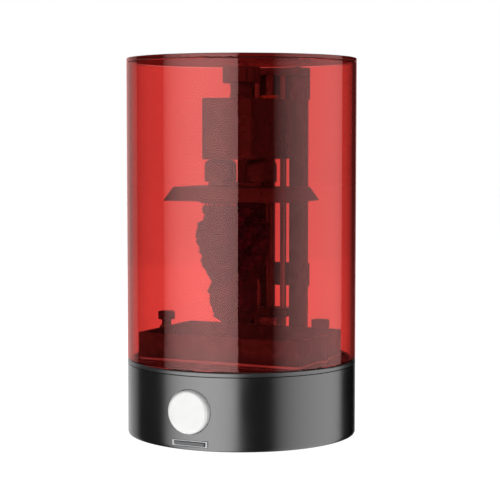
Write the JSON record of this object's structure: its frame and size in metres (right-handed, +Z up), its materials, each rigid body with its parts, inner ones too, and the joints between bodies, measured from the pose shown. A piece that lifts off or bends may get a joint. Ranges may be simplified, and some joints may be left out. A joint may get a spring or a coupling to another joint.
{
  "type": "resin printer",
  "caption": "Desktop resin 3D printer: round base with a turn-and-press knob and card slot, resin vat, screw-driven build platform on a rear tower, and a lift-off red cylindrical cover.",
  "frame": {"origin": "on the printer's upright axis, on the surface that its feet stand on", "axes": "+Z up; the knob and card slot face -Y, the lift tower stands at +Y"},
  "size_m": [0.1702, 0.1757, 0.2783],
  "materials": {
    "satin_black": "satin dark lacquer",
    "trim_grey": "satin, bevelled edge",
    "white_plastic": "satin white",
    "black_plastic": "moulded",
    "rubber_black": "matt",
    "red_acrylic": "polished, see-through",
    "black_anodised": "bead-blasted, black anodised",
    "bare_steel": "ground",
    "brass": "turned",
    "bare_aluminium": "milled",
    "board_green": "solder mask",
    "clear_glass": "polished",
    "screen_black": "glossy",
    "clear_film": "clear film",
    "purple_resin": "cured resin"
  },
  "bodies": {
    "base": {"base_shell": "satin_black", "trim_ring": "trim_grey", "deck_plate": "black_anodised", "bottom_cover": "satin_black", "foot_front_left": "rubber_black", "foot_front_right": "rubber_black", "foot_rear_left": "rubber_black", "foot_rear_right": "rubber_black", "encoder_body": "black_plastic", "card_bezel": "trim_grey", "card_socket": "bare_aluminium", "main_board": "board_green", "power_inlet": "black_plastic", "lamp_heat_sink": "bare_aluminium", "lamp_board": "board_green", "lamp_lens": "clear_glass", "light_shroud": "black_plastic", "mask_screen": "screen_black", "screen_glass": "clear_glass", "fan_frame": "black_plastic", "tower_post_left": "black_anodised", "tower_post_right": "black_anodised", "guide_rod_left": "bare_steel", "guide_rod_right": "bare_steel", "tower_top_plate": "black_anodised", "screw_support": "black_anodised", "screw_top_bearing": "bare_steel", "tower_back": "black_anodised", "lift_motor": "black_anodised"},
    "knob_plunger": {"encoder_plunger": "black_plastic"},
    "knob": {"encoder_shaft": "bare_aluminium", "control_knob": "white_plastic"},
    "memory_card": {"memory_card": "black_plastic"},
    "fan_rotor": {"fan_rotor": "black_plastic"},
    "vat": {"vat_frame": "black_anodised", "film_clamp_ring": "bare_aluminium", "release_film": "clear_film"},
    "thumb_washer_left": {"thumb_washer_left": "bare_steel"},
    "thumb_washer_right": {"thumb_washer_right": "bare_steel"},
    "thumb_screw_left": {"thumb_screw_left": "black_anodised"},
    "thumb_screw_right": {"thumb_screw_right": "black_anodised"},
    "screw": {"lead_screw": "bare_steel", "motor_shaft": "bare_steel", "shaft_coupling": "bare_aluminium"},
    "carriage": {"carriage_block": "black_anodised", "lead_nut": "brass", "guide_bush_left": "brass", "guide_bush_right": "brass", "arm_head": "black_anodised", "clamp_sleeve": "black_anodised"},
    "clamp_pad": {"clamp_pad": "brass"},
    "clamp": {"clamp_rod": "bare_steel", "clamp_knob": "black_plastic"},
    "platform": {"build_plate": "black_anodised", "platform_hub": "black_anodised", "platform_post_left": "black_anodised", "platform_post_right": "black_anodised", "sample_print": "purple_resin"},
    "cover": {"cover_tube": "red_acrylic", "cover_top": "red_acrylic"}
  },
  "joints": [
    {"name": "cover_lift", "type": "slide", "parent": "base", "child": "cover", "axis": [0, 0, 1], "range_m": [0, 0.23]},
    {"name": "z_lift", "type": "slide", "parent": "base", "child": "carriage", "axis": [0, 0, 1], "range_m": [-0.1147, 0], "deforming": ["sample_print"]},
    {"name": "screw_turn", "type": "hinge", "parent": "base", "child": "screw", "pos_m": [0, 0.0519, 0.06995], "axis": [0, 0, 1], "continuous": true},
    {"name": "clamp_rise", "type": "slide", "parent": "carriage", "child": "clamp_pad", "axis": [0, 0, 1], "range_m": [0, 0.0012]},
    {"name": "clamp_turn", "type": "hinge", "parent": "clamp_pad", "child": "clamp", "pos_m": [0, 0, 0.26025], "axis": [0, 0, 1], "continuous": true},
    {"name": "platform_drop", "type": "slide", "parent": "carriage", "child": "platform", "axis": [0, 0, -1], "range_m": [0, 0.01]},
    {"name": "vat_lift", "type": "slide", "parent": "base", "child": "vat", "axis": [0, 0, 1], "range_m": [0, 0.009]},
    {"name": "thumb_left_rise", "type": "slide", "parent": "vat", "child": "thumb_washer_left", "axis": [0, 0, 1], "range_m": [0, 0.008]},
    {"name": "thumb_left_turn", "type": "hinge", "parent": "thumb_washer_left", "child": "thumb_screw_left", "pos_m": [-0.0638, -0.001, 0.07725], "axis": [0, 0, 1], "continuous": true},
    {"name": "thumb_right_rise", "type": "slide", "parent": "vat", "child": "thumb_washer_right", "axis": [0, 0, 1], "range_m": [0, 0.008]},
    {"name": "thumb_right_turn", "type": "hinge", "parent": "thumb_washer_right", "child": "thumb_screw_right", "pos_m": [0.0638, -0.001, 0.07725], "axis": [0, 0, 1], "continuous": true},
    {"name": "knob_press", "type": "slide", "parent": "base", "child": "knob_plunger", "axis": [0, 1, 0], "range_m": [0, 0.0008], "stiffness_N_per_m": 600, "springref_m": -0.002},
    {"name": "knob_turn", "type": "hinge", "parent": "knob_plunger", "child": "knob", "pos_m": [0, -0.08929, 0.0278], "axis": [0, -1, 0], "continuous": true},
    {"name": "card_slide", "type": "slide", "parent": "base", "child": "memory_card", "axis": [0, -1, 0], "range_m": [0, 0.026]},
    {"name": "fan_spin", "type": "hinge", "parent": "base", "child": "fan_rotor", "pos_m": [-0.0495, 0, 0.0089], "axis": [0, 0, 1], "continuous": true}
  ],
  "couplings": [
    {"joint": "screw_turn", "follows": "z_lift", "rad_per_m": -785.4},
    {"joint": "clamp_turn", "follows": "clamp_rise", "rad_per_m": 5026.5},
    {"joint": "thumb_left_turn", "follows": "thumb_left_rise", "rad_per_m": 8976},
    {"joint": "thumb_right_turn", "follows": "thumb_right_rise", "rad_per_m": 8976}
  ]
}
